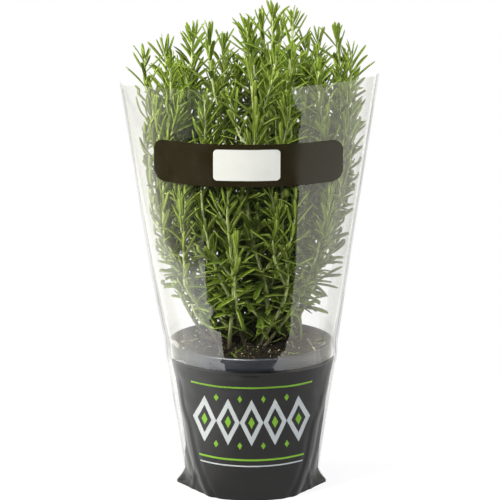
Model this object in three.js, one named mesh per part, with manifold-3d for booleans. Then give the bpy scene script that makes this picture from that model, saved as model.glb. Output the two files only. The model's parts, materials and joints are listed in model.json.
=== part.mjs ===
// A rosemary plant growing in a thin-walled nursery pot, standing in a tapered clear film sleeve.
// Millimetres, +Z up, front towards -Y. The origin is the middle of the sleeve's underside, on the
// surface that it stands on.
import * as THREE from "three";
import Module from "manifold-3d";
import { mergeVertices } from "three/addons/utils/BufferGeometryUtils.js";

const wasm = await Module();
wasm.setup();

// ---- Driving dimensions ----
const GAP = 0.3; // clearance between pieces that touch
const FILM = 0.8; // wall of the sleeve, thicker here than the real film
const POT_BOTTOM = FILM + GAP;
const POT = {
  height: 107,
  rimRadius: 59.5,
  rimHeight: 11,
  rimStep: 5, // height of the narrower lower half of the rim
  rimLip: 2.2, // width of the rim's flat top
  wallTopRadius: 56.5, // outside, just under the rim
  baseRadius: 44.8,
  wall: 1.2,
  footHeight: 2.5,
  footWidth: 5,
  chamfer: 1,
  segments: 40,
};
const DRAIN = { count: 8, radius: 4, circleRadius: 29, segments: 12 };
const SOIL = { belowRim: 3.5, crown: 4, roughness: 0.35, fit: 0.15, rings: 5, segments: 30 };
const SLEEVE = {
  height: 298,
  topHalfWidth: 89,
  topHalfDepth: 60,
  rimHalfWidth: 60.8,
  baseHalfWidth: 46.2,
  seam: 2.4, // how far the welded side seam stands out
  ear: 8.5, // how far the empty bottom corners stand out
  earFrom: 1.5, // height at which the ears start to narrow
  earTo: 14, // height at which they have run out into the seam
  slant: 0.036, // the cut top edge rises to the right by this share of x
  topPoint: 1.3, // 1 is an ellipse, and more makes the seams sharper
  segments: 44,
};
const STEM = {
  baseRadius: 1.8,
  tipRadius: 0.8,
  sides: 5,
  steps: 7,
  rootDepth: 9,
  belowTip: 9, // from the end of a stem up to the ends of its topmost leaves
  rootShare: 0.33, // how far out a stem is rooted, as a share of how far out its tip is
  lowRootShare: 0.47, // the same for the short stems round the outside
  lowBelow: 260, // tip height under which a stem counts as short
  leanHeight: 30, // height over the root at which the stem leans outwards most
  straightFrom: 0.53, // share of the height above which the stem runs straight up
};
const LEAF = {
  length: 21,
  width: 2.8,
  thickness: 1.3,
  pairs: 7,
  firstAt: 0.16, // shares of the stem's length
  lastAt: 0.985,
  shortFrom: 0.8,
  tipLength: 0.6, // share of the full length that the topmost leaves have
  lift: 0.75, // angle between leaf and level in radians, at the foot of a stem
  tipLift: 1.25, // and at its tip
  stemTurn: 2.4, // each stem's pairs start turned on by this angle in radians
  filmGap: 1,
};

// Where the topmost leaves of each stem end: x, y and height above the surface that it all stands on.
const STEM_TIPS = [
  [-76, -6, 322], [-56, -30, 318], [-43, 4, 336], [-29, -20, 342], [-20, 26, 330], [-4, 10, 342],
  [14, -4, 353], [29, -20, 351], [38, 18, 332], [47, -33, 316], [61, 2, 338], [76, -6, 326],
  [66, -22, 304], [0, -47, 322], [25, -46, 300], [-31, -47, 298], [-63, 18, 326], [-42, 36, 334],
  [-2, 46, 336], [22, 40, 340], [47, 38, 330], [-68, -20, 290], [7, 26, 345], [70, 16, 318],
  [-50, -37, 246], [58, -34, 240], [13, -52, 236], [-15, -52, 250],
];

// ---- Helpers ----
const SAME_POINT = 1e-4;
const mix = THREE.MathUtils.lerp;
const ramp = (x, from, to) => THREE.MathUtils.clamp((x - from) / (to - from), 0, 1);

// A closed mesh as a solid for joining and cutting.
function solidOf(geometry) {
  const bare = geometry.clone();
  bare.deleteAttribute("normal");
  bare.deleteAttribute("uv");
  const merged = mergeVertices(bare, SAME_POINT);
  const index = merged.index.array;
  const kept = [];
  for (let i = 0; i < index.length; i += 3) {
    const [a, b, c] = index.slice(i, i + 3);
    if (a !== b && b !== c && a !== c) kept.push(a, b, c);
  }
  const mesh = new wasm.Mesh({
    numProp: 3,
    vertProperties: merged.attributes.position.array,
    triVerts: new Uint32Array(kept),
  });
  return new wasm.Manifold(mesh);
}

function geometryOf(solid) {
  const { numProp, numVert, vertProperties, triVerts } = solid.getMesh();
  const positions = new Float32Array(numVert * 3);
  for (let i = 0; i < numVert; i++) {
    positions.set(vertProperties.subarray(i * numProp, i * numProp + 3), i * 3);
  }
  const geometry = new THREE.BufferGeometry();
  geometry.setAttribute("position", new THREE.BufferAttribute(positions, 3));
  geometry.setIndex(new THREE.BufferAttribute(triVerts, 1));
  geometry.computeVertexNormals();
  return geometry;
}

// A closed skin over rings of points that run anticlockwise seen from above, listed from the bottom up.
function loft(rings) {
  const count = rings[0].length;
  const points = rings.flat();
  const centre = (ring) =>
    ring.reduce((sum, p) => sum.add(p), new THREE.Vector3()).divideScalar(count);
  const bottom = points.push(centre(rings[0])) - 1;
  const top = points.push(centre(rings.at(-1))) - 1;
  const lastRing = (rings.length - 1) * count;
  const index = [];
  for (let i = 0; i < count; i++) {
    const j = (i + 1) % count;
    for (let k = 0; k < lastRing; k += count) {
      index.push(k + i, k + j, k + count + j, k + i, k + count + j, k + count + i);
    }
    index.push(bottom, j, i, top, lastRing + i, lastRing + j);
  }
  const geometry = new THREE.BufferGeometry().setFromPoints(points);
  geometry.setIndex(index);
  return geometry;
}

function lathe(profile, segments) {
  const points = profile.map(([radius, z]) => new THREE.Vector2(radius, z));
  return new THREE.LatheGeometry(points, segments).rotateX(Math.PI / 2);
}

// ---- Sleeve ----
const RIM_TOP = POT_BOTTOM + POT.height;
const RIM_BOTTOM = RIM_TOP - POT.rimHeight;
const SLEEVE_LEVELS = [0, 4, 9, SLEEVE.earTo, 50, RIM_BOTTOM, RIM_TOP, 155, 205, 250, SLEEVE.height];

// Half the width and half the depth of the sleeve at a height: a cone below the pot's rim, and above
// it a taper that flattens from a circle to the wide, pointed mouth.
function sleeveHalves(z) {
  const up = ramp(z, RIM_TOP, SLEEVE.height);
  const below = mix(SLEEVE.baseHalfWidth, SLEEVE.rimHalfWidth, ramp(z, 0, RIM_BOTTOM));
  const width = mix(below, SLEEVE.topHalfWidth, up);
  const depth = mix(below, SLEEVE.topHalfDepth, up);
  return [width, depth];
}

// The outline of the sleeve at a height, drawn in by an inset, as points round the z axis.
function sleeveOutline(z, inset) {
  const [halfWidth, halfDepth] = sleeveHalves(z);
  const up = ramp(z, RIM_TOP, SLEEVE.height);
  const power = mix(1, SLEEVE.topPoint, up);
  const ear = (SLEEVE.ear - SLEEVE.seam) * (1 - ramp(z, SLEEVE.earFrom, SLEEVE.earTo)) ** 1.5;
  const reach = inset ? ear : ear + SLEEVE.seam;
  const tangent = Math.acos(halfWidth / (halfWidth + reach));
  const ring = [];
  for (let i = 0; i < SLEEVE.segments; i++) {
    const t = (i / SLEEVE.segments) * 2 * Math.PI;
    const fromSeam = Math.abs(Math.asin(Math.sin(t)));
    const stretch = fromSeam < tangent ? 1 / Math.cos(tangent - fromSeam) : 1;
    const side = Math.sign(Math.sin(t)) * Math.abs(Math.sin(t)) ** power;
    const x = (halfWidth - inset) * stretch * Math.cos(t);
    const y = (halfDepth - inset) * stretch * side;
    ring.push(new THREE.Vector3(x, y, z + SLEEVE.slant * x * up));
  }
  return ring;
}

function sleeveSolid() {
  const outer = loft(SLEEVE_LEVELS.map((z) => sleeveOutline(z, 0)));
  const levels = SLEEVE_LEVELS.map((z) => Math.max(z, FILM));
  levels[levels.length - 1] += 2 * SLEEVE.topHalfWidth * SLEEVE.slant; // cuts through the slanted edge
  const inner = loft(levels.map((z) => sleeveOutline(z, FILM)));
  return solidOf(outer).subtract(solidOf(inner));
}

// ---- Pot ----
const POT_RIM_BOTTOM = POT.height - POT.rimHeight;
const potOuter = (z) => mix(POT.baseRadius, POT.wallTopRadius, z / POT_RIM_BOTTOM);
const potInner = (z) => potOuter(z) - POT.wall;

function potSolid() {
  const { height, rimRadius, rimStep, rimLip, baseRadius, wall, footHeight, footWidth, chamfer } = POT;
  const floor = footHeight + wall;
  const stepTop = POT_RIM_BOTTOM + rimStep;
  const profile = [
    [0, footHeight],
    [baseRadius - footWidth - chamfer, footHeight],
    [baseRadius - footWidth, 0],
    [baseRadius - chamfer, 0],
    [baseRadius, chamfer],
    [POT.wallTopRadius, POT_RIM_BOTTOM],
    [rimRadius - 1.4 * chamfer, POT_RIM_BOTTOM + 0.4 * chamfer],
    [rimRadius - chamfer, stepTop],
    [rimRadius - 0.3 * chamfer, stepTop + 0.6 * chamfer],
    [rimRadius, height - 2 * chamfer],
    [rimRadius - 0.5 * chamfer, height],
    [rimRadius - rimLip, height],
    [rimRadius - rimLip - 0.5 * chamfer, height - chamfer],
    [potInner(POT_RIM_BOTTOM), POT_RIM_BOTTOM - chamfer],
    [potInner(floor), floor],
    [0, floor],
  ];
  const hole = new THREE.CylinderGeometry(DRAIN.radius, DRAIN.radius, 4 * wall, DRAIN.segments);
  hole.rotateX(Math.PI / 2);
  let pot = solidOf(lathe(profile, POT.segments));
  for (let i = 0; i < DRAIN.count; i++) {
    const angle = ((i + 0.5) / DRAIN.count) * 2 * Math.PI;
    const x = DRAIN.circleRadius * Math.cos(angle);
    const y = DRAIN.circleRadius * Math.sin(angle);
    pot = pot.subtract(solidOf(hole.clone().translate(x, y, footHeight + wall / 2)));
  }
  return pot;
}

// ---- Soil: it fills the pot up to just under the rim, with a low crown and lumps on top ----
const SOIL_EDGE = POT.height - SOIL.belowRim;
const soilRadius = (z) => potInner(z) - GAP - SOIL.fit;
const SOIL_RADIUS = soilRadius(POT_RIM_BOTTOM - POT.chamfer);
const soilTop = (r) => SOIL_EDGE + SOIL.crown * Math.cos(((r / SOIL_RADIUS) * Math.PI) / 2);
const soilLump = (x, y) => Math.sin(x * 0.31 + 1) * Math.cos(y * 0.37) + Math.sin(y * 0.23 + x * 0.17);

function soilSolid(stems) {
  const floor = POT.footHeight + POT.wall + GAP;
  const profile = [
    [0, floor],
    [soilRadius(floor), floor],
    [SOIL_RADIUS, POT_RIM_BOTTOM - POT.chamfer],
    [SOIL_RADIUS, SOIL_EDGE],
  ];
  for (let k = SOIL.rings - 1; k >= 0; k--) {
    const r = (SOIL_RADIUS * k) / SOIL.rings;
    profile.push([r, soilTop(r)]);
  }
  const geometry = lathe(profile, SOIL.segments);
  const p = geometry.attributes.position;
  for (let i = 0; i < p.count; i++) {
    const onTop = p.getZ(i) > SOIL_EDGE + SOIL.fit;
    if (onTop) p.setZ(i, p.getZ(i) + SOIL.roughness * soilLump(p.getX(i), p.getY(i)));
  }
  let soil = solidOf(geometry);
  for (const curve of stems) soil = soil.subtract(solidOf(stemGeometry(curve, GAP)));
  return soil;
}

// ---- Sprigs: each is a stem with the leaves that grow from it ----
function stemCurve([x, y, z]) {
  const share = z < STEM.lowBelow ? STEM.lowRootShare : STEM.rootShare;
  const root = new THREE.Vector3(x * share, y * share, soilTop(0) - STEM.rootDepth);
  const tip = new THREE.Vector3(x, y, z - STEM.belowTip - POT_BOTTOM);
  const lean = root.clone().lerp(tip, 0.5).setZ(root.z + STEM.leanHeight);
  const straight = tip.clone().setZ(mix(root.z, tip.z, STEM.straightFrom));
  return new THREE.CubicBezierCurve3(root, lean, straight, tip);
}

// A tapered bar bent along a curve, thicker all over by the margin.
function stemGeometry(curve, margin = 0) {
  const { baseRadius, tipRadius, sides, steps } = STEM;
  const bar = new THREE.CylinderGeometry(tipRadius + margin, baseRadius + margin, 1, sides, steps);
  const p = bar.attributes.position;
  const frames = curve.computeFrenetFrames(steps, false);
  for (let i = 0; i < p.count; i++) {
    const step = Math.round((p.getY(i) + 0.5) * steps);
    const at = curve.getPointAt(step / steps);
    const past = step === 0 ? -margin : step === steps ? margin : 0;
    at.addScaledVector(frames.tangents[step], past);
    at.addScaledVector(frames.normals[step], p.getX(i));
    at.addScaledVector(frames.binormals[step], -p.getZ(i));
    p.setXYZ(i, at.x, at.y, at.z);
  }
  return bar;
}

// A leaf as a flat lozenge that starts inside the stem and points outwards and up.
function leafSolid(curve, share, turn, lift, length) {
  const base = curve.getPointAt(share);
  const along = curve.getTangentAt(share);
  const out = new THREE.Vector3(Math.cos(turn), Math.sin(turn), 0);
  const way = out.multiplyScalar(Math.cos(lift)).addScaledVector(along, Math.sin(lift)).normalize();
  const across = new THREE.Vector3().crossVectors(along, way).normalize();
  const through = new THREE.Vector3().crossVectors(way, across);
  const leaf = new THREE.OctahedronGeometry(1);
  leaf.scale(LEAF.width / 2, LEAF.thickness / 2, length / 2);
  leaf.translate(0, 0, length / 2);
  leaf.applyMatrix4(new THREE.Matrix4().makeBasis(across, through, way).setPosition(base));
  return solidOf(leaf);
}

function boxesNear(a, b) {
  const [p, q] = [a.boundingBox(), b.boundingBox()];
  return [0, 1, 2].every((k) => p.min[k] - GAP < q.max[k] && q.min[k] - GAP < p.max[k]);
}

const clear = (leaf, others) => others.every((o) => !boxesNear(leaf, o) || leaf.minGap(o, 1) > GAP);

function insideSleeve(leaf) {
  const { min, max } = leaf.boundingBox();
  if (max[2] + POT_BOTTOM > SLEEVE.height) return true;
  const [halfWidth, halfDepth] = sleeveHalves((min[2] + max[2]) / 2 + POT_BOTTOM);
  const x = Math.max(-min[0], max[0]) / (halfWidth - LEAF.filmGap);
  const y = Math.max(-min[1], max[1]) / (halfDepth - LEAF.filmGap);
  return x * x + y * y < 1;
}

// Grows leaves on all the stems in turn, and leaves out each one that another piece is in the way of.
function growSprigs(curves, fixed) {
  const stems = curves.map((curve) => solidOf(stemGeometry(curve)));
  const grown = curves.map(() => []);
  for (let pair = 0; pair <= LEAF.pairs; pair++) {
    const share = mix(LEAF.firstAt, LEAF.lastAt, pair / LEAF.pairs);
    const length = LEAF.length * mix(1, LEAF.tipLength, ramp(share, LEAF.shortFrom, 1));
    const lift = mix(LEAF.lift, LEAF.tipLift, share);
    curves.forEach((curve, s) => {
      const others = [...stems, ...fixed].filter((o) => o !== stems[s]);
      grown.forEach((leaves, k) => k !== s && others.push(...leaves));
      for (const side of [0, Math.PI]) {
        const turn = s * LEAF.stemTurn + (pair * Math.PI) / 2 + side;
        const leaf = leafSolid(curve, share, turn, lift, length);
        if (insideSleeve(leaf) && clear(leaf, others)) grown[s].push(leaf);
      }
    });
  }
  return stems.map((stem, s) => grown[s].reduce((sprig, leaf) => sprig.add(leaf), stem));
}

// ---- Assembly ----
const MATERIALS = {
  film: new THREE.MeshStandardMaterial({ color: 0xeef0ee, roughness: 0.08, opacity: 0.3 }),
  pot: new THREE.MeshStandardMaterial({ color: 0x33383f, roughness: 0.45 }),
  soil: new THREE.MeshStandardMaterial({ color: 0x36291e, roughness: 0.95 }),
  plant: new THREE.MeshStandardMaterial({ color: 0x4f7a26, roughness: 0.5 }),
};
MATERIALS.film.transparent = true;

function piece(name, solid, material) {
  const mesh = new THREE.Mesh(geometryOf(solid), material);
  mesh.name = name;
  return mesh;
}

const plant = new THREE.Group();
const sleeve = sleeveSolid();
plant.add(piece("film_sleeve", sleeve, MATERIALS.film));

const potted = new THREE.Group();
potted.position.z = POT_BOTTOM;
const curves = STEM_TIPS.map(stemCurve);
const soil = soilSolid(curves);
const sprigs = growSprigs(curves, [soil, sleeve.translate([0, 0, -POT_BOTTOM])]);
potted.add(piece("nursery_pot", potSolid(), MATERIALS.pot));
potted.add(piece("soil", soil, MATERIALS.soil));
sprigs.forEach((sprig, i) => {
  potted.add(piece(`sprig_${String(i + 1).padStart(2, "0")}`, sprig, MATERIALS.plant));
});
plant.add(potted);

export default plant;
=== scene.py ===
"""A rosemary plant in a nursery pot, standing in a tapered, printed, clear film sleeve.

Metres, +Z up, front towards -Y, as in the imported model. The sleeve, the pot, the soil and each sprig
are rebuilt here as fine meshes round the same driving sizes as the solids that they replace.
"""
import json
import math

import bpy
import numpy as np
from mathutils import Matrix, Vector

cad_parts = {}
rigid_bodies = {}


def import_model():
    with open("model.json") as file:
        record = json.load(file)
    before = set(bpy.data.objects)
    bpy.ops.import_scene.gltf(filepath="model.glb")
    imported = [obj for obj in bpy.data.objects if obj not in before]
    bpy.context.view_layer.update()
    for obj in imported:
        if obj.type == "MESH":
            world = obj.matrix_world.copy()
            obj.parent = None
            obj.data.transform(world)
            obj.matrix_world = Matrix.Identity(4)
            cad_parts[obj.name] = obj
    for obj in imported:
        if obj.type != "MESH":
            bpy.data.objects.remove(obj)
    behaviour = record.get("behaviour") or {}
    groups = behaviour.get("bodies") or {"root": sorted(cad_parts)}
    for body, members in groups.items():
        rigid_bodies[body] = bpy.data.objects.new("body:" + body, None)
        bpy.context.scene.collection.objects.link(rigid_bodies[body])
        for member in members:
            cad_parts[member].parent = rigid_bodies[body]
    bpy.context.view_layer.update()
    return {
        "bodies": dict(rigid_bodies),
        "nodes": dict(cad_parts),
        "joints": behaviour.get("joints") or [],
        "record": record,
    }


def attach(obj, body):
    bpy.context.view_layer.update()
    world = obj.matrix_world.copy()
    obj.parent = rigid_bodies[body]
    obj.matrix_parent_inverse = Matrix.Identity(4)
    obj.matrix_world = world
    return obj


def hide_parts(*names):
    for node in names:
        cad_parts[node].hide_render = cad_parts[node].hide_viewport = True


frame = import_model()

# ---- Driving sizes ----
POT_BOTTOM = 0.0011  # height of the pot's foot over the surface that it all stands on
POT_HEIGHT = 0.107
POT_BASE_RADIUS = 0.0448
POT_WALL = 0.0012
WALL_TOP_RADIUS = 0.0565
RIM_RADIUS = 0.0595
RIM_HEIGHT = 0.011
RIM_TOP = POT_BOTTOM + POT_HEIGHT
RIM_BOTTOM = RIM_TOP - RIM_HEIGHT
SOIL_RADIUS = 0.0546
SOIL_EDGE = RIM_TOP - 0.0035  # height of the soil at the pot's wall
SOIL_CROWN = 0.004  # how far the soil's middle stands over its edge
SLEEVE_HEIGHT = 0.298
TOP_HALF_WIDTH = 0.089
TOP_HALF_DEPTH = 0.06
RIM_HALF_WIDTH = 0.0608
BASE_HALF_WIDTH = 0.0462
SEAM = 0.0006  # how far the side seams stand out, without their flat welds
EAR = 0.0085  # how far the empty bottom corners stand out
EAR_FROM = 0.0015  # the ears stand out in full up to this height
EAR_TO = 0.012  # and not at all from this height on
SLANT = 0.036  # the cut top edge rises to the right by this share of x
PRINT_LINE = 0.0992  # height of the dark print's upper edge
FILM = 0.0001  # the film's thickness

# Where the topmost leaves of each sprig end: x, y and height.
SPRIG_TIPS = [
    (-0.076, -0.006, 0.322), (-0.056, -0.030, 0.318), (-0.043, 0.004, 0.336), (-0.029, -0.020, 0.342),
    (-0.020, 0.026, 0.330), (-0.004, 0.010, 0.342), (0.014, -0.004, 0.353), (0.029, -0.020, 0.351),
    (0.038, 0.018, 0.332), (0.047, -0.033, 0.316), (0.061, 0.002, 0.338), (0.071, -0.006, 0.325),
    (0.066, -0.022, 0.304), (0.000, -0.047, 0.322), (0.025, -0.046, 0.300), (-0.031, -0.047, 0.298),
    (-0.063, 0.018, 0.326), (-0.042, 0.036, 0.334), (-0.002, 0.046, 0.336), (0.022, 0.040, 0.340),
    (0.047, 0.038, 0.330), (-0.068, -0.020, 0.290), (0.007, 0.026, 0.345), (0.067, 0.016, 0.318),
    (-0.050, -0.037, 0.246), (0.058, -0.034, 0.240), (0.013, -0.052, 0.236), (-0.015, -0.052, 0.250),
]

UP = np.array([0.0, 0.0, 1.0])


# ---- Numbers ----
def mix(a, b, share):
    """The value at this share of the way from a to b."""
    return a + (b - a) * share


def ramp(x, start, end):
    """0 up to the start, 1 from the end on, and a straight rise between them."""
    return np.clip((x - start) / (end - start), 0.0, 1.0)


def smooth(x, start, end):
    """As a ramp, but eased at both ends."""
    share = ramp(x, start, end)
    return share * share * (3 - 2 * share)


def bump(x, middle, width):
    """A rounded hump, 1 in the middle."""
    return np.exp(-(((x - middle) / width) ** 2))


def unit(v):
    return v / np.maximum(np.linalg.norm(v, axis=-1, keepdims=True), 1e-12)


def waves(x, y, size, seed, count=14):
    """A smooth random height field, about -1 to 1, whose lumps are about one size across."""
    rng = np.random.default_rng(seed)
    total = 0.0
    for _ in range(count):
        angle, turn = rng.uniform(0, 2 * math.pi, 2)
        rate = 2 * math.pi / (size * rng.uniform(0.6, 1.7))
        total = total + np.cos(rate * (x * math.cos(angle) + y * math.sin(angle)) + turn)
    return total / math.sqrt(count)


# ---- Meshes ----
def piece(name, points, face_sets, materials, worn=None, marks=None, replaces=(),
          creases=None):
    """A smooth mesh that rides on the part, from points and arrays of faces with 3 or 4 corners each.

    worn gives each face's material, and marks the numbers that each point carries for the materials.
    """
    mesh = bpy.data.meshes.new(name)
    points = np.asarray(points, float).reshape(-1, 3)
    corners = np.concatenate([np.ravel(f) for f in face_sets])
    counts = np.concatenate([np.full(len(f), f.shape[1]) for f in face_sets])
    mesh.vertices.add(len(points))
    mesh.vertices.foreach_set("co", points.astype(np.float32).ravel())
    mesh.loops.add(len(corners))
    mesh.loops.foreach_set("vertex_index", corners.astype(np.int32))
    mesh.polygons.add(len(counts))
    mesh.polygons.foreach_set("loop_start", (np.cumsum(counts) - counts).astype(np.int32))
    for material in materials:
        mesh.materials.append(material)
    if worn is not None:
        mesh.polygons.foreach_set("material_index", np.asarray(worn, np.int32))
    for mark, values in (marks or {}).items():
        layer = mesh.attributes.new(mark, "FLOAT", "POINT")
        layer.data.foreach_set("value", np.asarray(values, np.float32).ravel())
    mesh.update(calc_edges=True)
    mesh.validate()
    mesh.shade_smooth()
    if creases is not None:
        mesh.set_sharp_from_angle(angle=creases)
    obj = bpy.data.objects.new(name, mesh)
    bpy.context.scene.collection.objects.link(obj)
    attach(obj, "root")
    if replaces:
        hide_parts(*replaces)
    return obj


def grid_faces(rows, columns, closed_columns=False, start=0):
    """Faces of a grid of points, row by row, whose last column may join its first."""
    k, i = np.meshgrid(np.arange(rows - 1), np.arange(columns - (not closed_columns)), indexing="ij")
    j = (i + 1) % columns
    a, b = k * columns, (k + 1) * columns
    return start + np.stack([a + i, a + j, b + j, b + i], -1).reshape(-1, 4)


def plate(outer, inner, start=0):
    """Points and faces of a thin closed plate between two open grids of points."""
    rows, columns = outer.shape[:2]
    count = rows * columns
    top = grid_faces(rows, columns)
    index = np.arange(count).reshape(rows, columns)
    rim = np.concatenate([index[0, :-1], index[:-1, -1], index[-1, :0:-1], index[:0:-1, 0]])
    after = np.roll(rim, -1)
    sides = np.stack([rim, rim + count, after + count, after], -1)
    faces = np.concatenate([top, top[:, ::-1] + count, sides]) + start
    return np.concatenate([outer.reshape(-1, 3), inner.reshape(-1, 3)]), faces


def end_caps(columns, last):
    """The two faces that close a stack of rings: on its first ring, and on the one that starts at last."""
    ring = np.arange(columns)[None]
    return [ring[:, ::-1], ring + last]


def closed_faces(rings):
    """The faces of a stack of rings of points, walls and ends."""
    rows, columns = rings.shape[:2]
    return [grid_faces(rows, columns, True), *end_caps(columns, (rows - 1) * columns)]


def turned(section, segments):
    """A section of radii and heights turned about the vertical, as a stack of rings of points."""
    radius, height = np.array(section).T[..., None]
    angles = np.linspace(0, 2 * math.pi, segments, endpoint=False)
    x, y = radius * np.cos(angles), radius * np.sin(angles)
    return np.stack([x, y, np.broadcast_to(height, x.shape)], -1)


def normals_of(rings):
    """The normal at each point of a stack of rings, which run anticlockwise and from the lowest up."""
    across = np.roll(rings, -1, 1) - np.roll(rings, 1, 1)
    return unit(np.cross(across, np.gradient(rings, axis=0)))


# ---- Shader nodes ----
class Nodes:
    """A node tree. Its calls add nodes, and take numbers, colours or the outputs of other nodes."""

    def __init__(self, tree):
        self.tree = tree

    def put(self, socket, value):
        """Set an input to a value, or join it to an output."""
        if isinstance(value, bpy.types.NodeSocket):
            self.tree.links.new(value, socket)
        else:
            socket.default_value = value

    def fill(self, node, **sockets):
        """Give some of a node's inputs, by name."""
        for name, value in sockets.items():
            self.put(node.inputs[name.replace("_", " ")], value)
        return node

    def add(self, kind, settings=None, **sockets):
        """A new node with its settings, and its inputs by name."""
        node = self.tree.nodes.new("ShaderNode" + kind)
        for key, value in (settings or {}).items():
            setattr(node, key, value)
        return self.fill(node, **sockets)

    def use(self, group, **sockets):
        """The outputs of a group that is given its own values."""
        return self.add("Group", {"node_tree": group}, **sockets).outputs

    def calc(self, operation, *values):
        node = self.add("Math", {"operation": operation})
        for socket, value in zip(node.inputs, values):
            self.put(socket, value)
        return node.outputs[0]

    def plus(self, a, b):
        return self.calc("ADD", a, b)

    def times(self, a, b):
        return self.calc("MULTIPLY", a, b)

    def blend(self, share, a, b):
        """A colour between two colours."""
        node = self.add("Mix", {"data_type": "RGBA"})
        for index, value in ((0, share), (6, a), (7, b)):  # the inputs that a mix of colours uses
            self.put(node.inputs[index], value)
        return node.outputs[2]

    def spread(self, value, low, high, to_low=0.0, to_high=1.0):
        """A value moved from one range to another, and held inside it."""
        node = self.add("MapRange", From_Min=low, From_Max=high, To_Min=to_low, To_Max=to_high)
        self.put(node.inputs[0], value)
        return node.outputs[0]

    def noise(self, place, scale, detail=3.0, roughness=0.55):
        node = self.add("TexNoise", Vector=place, Scale=scale, Detail=detail, Roughness=roughness)
        return node.outputs["Fac"]

    def place(self, stretch=(1, 1, 1)):
        """The place on the piece, in metres, squeezed along each axis by the stretch."""
        coords = self.add("TexCoord").outputs["Object"]
        return self.add("Mapping", Vector=coords, Scale=stretch).outputs[0]

    def mark(self, name):
        """The number that the mesh carries under a name."""
        return self.add("Attribute", {"attribute_name": name}).outputs["Fac"]

    def relief(self, height, strength, depth, **sockets):
        """The normal of a surface that is raised by a height."""
        return self.add("Bump", Strength=strength, Distance=depth, Height=height, **sockets).outputs[0]

    def mixed(self, share, first, second):
        """A mix of two shaders."""
        node = self.add("MixShader", Fac=share)
        self.put(node.inputs[1], first.outputs[0])
        self.put(node.inputs[2], second.outputs[0])
        return node

    def show(self, shader):
        """Make a shader the material's surface."""
        self.put(self.tree.nodes["Material Output"].inputs["Surface"], shader.outputs[0])


def rgb(red, green, blue):
    """A colour given as 0 to 255 screen values, as linear numbers for a socket."""
    def linear(c):
        c /= 255
        return c / 12.92 if c <= 0.04045 else ((c + 0.055) / 1.055) ** 2.4
    return (linear(red), linear(green), linear(blue), 1.0)


def new_group(name, inputs, outputs):
    """The nodes, inputs and outputs of an empty group, whose sockets are given as name to kind."""
    tree = bpy.data.node_groups.new(name, "ShaderNodeTree")
    for direction, sockets in (("INPUT", inputs), ("OUTPUT", outputs)):
        for label, kind in sockets.items():
            tree.interface.new_socket(label, in_out=direction, socket_type=kind)
    given = tree.nodes.new("NodeGroupInput").outputs
    return Nodes(tree), given, tree.nodes.new("NodeGroupOutput").inputs


VALUE, COLOUR, NORMAL = "NodeSocketFloat", "NodeSocketColor", "NodeSocketVector"


def make_uneven():
    """Uneven tone: a colour that drifts towards a second one in soft patches and fine specks."""
    nodes, given, out = new_group(
        "uneven_tone",
        {"Colour": COLOUR, "Second": COLOUR, "Patch Scale": VALUE, "Speck Scale": VALUE, "Amount": VALUE},
        {"Colour": COLOUR, "Mask": VALUE},
    )
    place = nodes.place()
    patches = nodes.noise(place, given["Patch Scale"], 2.0)
    specks = nodes.noise(place, given["Speck Scale"], 2.0, 0.7)
    both = nodes.plus(nodes.times(patches, 0.6), nodes.times(specks, 0.4))
    mask = nodes.times(nodes.spread(both, 0.35, 0.65), given["Amount"])
    nodes.put(out["Colour"], nodes.blend(mask, given["Colour"], given["Second"]))
    nodes.put(out["Mask"], mask)
    return nodes.tree


def make_grain():
    """Fine grain: a normal roughened by two sizes of noise, stretched along the height."""
    nodes, given, out = new_group(
        "fine_grain", {"Scale": VALUE, "Depth": VALUE, "Strength": VALUE}, {"Normal": NORMAL})
    place = nodes.place((1, 1, 0.45))
    coarse = nodes.noise(place, given["Scale"], 3.0)
    fine = nodes.noise(place, nodes.times(given["Scale"], 4.3), 2.0)
    height = nodes.plus(coarse, nodes.times(fine, 0.35))
    nodes.put(out["Normal"], nodes.relief(height, given["Strength"], given["Depth"]))
    return nodes.tree


def new_material(name):
    """A material, with its nodes and its Principled shader."""
    material = bpy.data.materials.new(name)
    material.use_nodes = True
    return material, Nodes(material.node_tree), material.node_tree.nodes["Principled BSDF"]


def make_film(name, haze, slant_haze, roughness, shine=1.0, milkiness=rgb(232, 232, 218)):
    """Clear film: it mirrors more at a slant, alike on both of its sides, and holds a milky haze.

    The slant haze is what a look along the film adds, through more of it. The shine is that of both
    faces of the film together, so a lining inside a skin has none.
    """
    material, nodes, milk = new_material(name)
    nodes.fill(milk, Base_Color=milkiness, Roughness=0.4)
    streaks = nodes.spread(nodes.noise(nodes.place((1, 1, 0.05)), 130, 3.0), 0.45, 0.8)
    facing = nodes.add("LayerWeight", Blend=0.5).outputs["Facing"]
    passed = nodes.calc("MULTIPLY_ADD", nodes.calc("POWER", facing, 5.0), -0.96, 0.96)  # by one face
    mirrored = nodes.calc("MULTIPLY_ADD", nodes.calc("POWER", passed, 2.0), -shine, shine)
    gloss = nodes.add("BsdfGlossy", Roughness=roughness, Normal=nodes.relief(streaks, 0.12, 0.0004))
    level = nodes.calc("MULTIPLY_ADD", streaks, haze, haze * 0.35)
    slanted = nodes.calc("POWER", nodes.spread(facing, 0.15, 1.0), 1.5)
    cloudy = nodes.plus(level, nodes.times(slanted, slant_haze))
    body = nodes.mixed(cloudy, nodes.add("BsdfTransparent"), milk)
    nodes.show(nodes.mixed(mirrored, body, gloss))
    return material


def make_ink(name, colour, second, roughness, specular=0.5):
    """Printed ink: slightly uneven in tone and shine, with the grain of the film under it."""
    material, nodes, shader = new_material(name)
    tone = nodes.use(UNEVEN, Colour=colour, Second=second, Patch_Scale=60.0, Speck_Scale=900.0,
                     Amount=0.7)
    nodes.fill(
        shader, Base_Color=tone["Colour"], Specular_IOR_Level=specular,
        Roughness=nodes.spread(tone["Mask"], 0, 0.7, roughness, roughness + 0.12),
        Normal=nodes.use(GRAIN, Scale=450.0, Depth=0.0001, Strength=0.25)["Normal"],
    )
    return material


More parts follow.
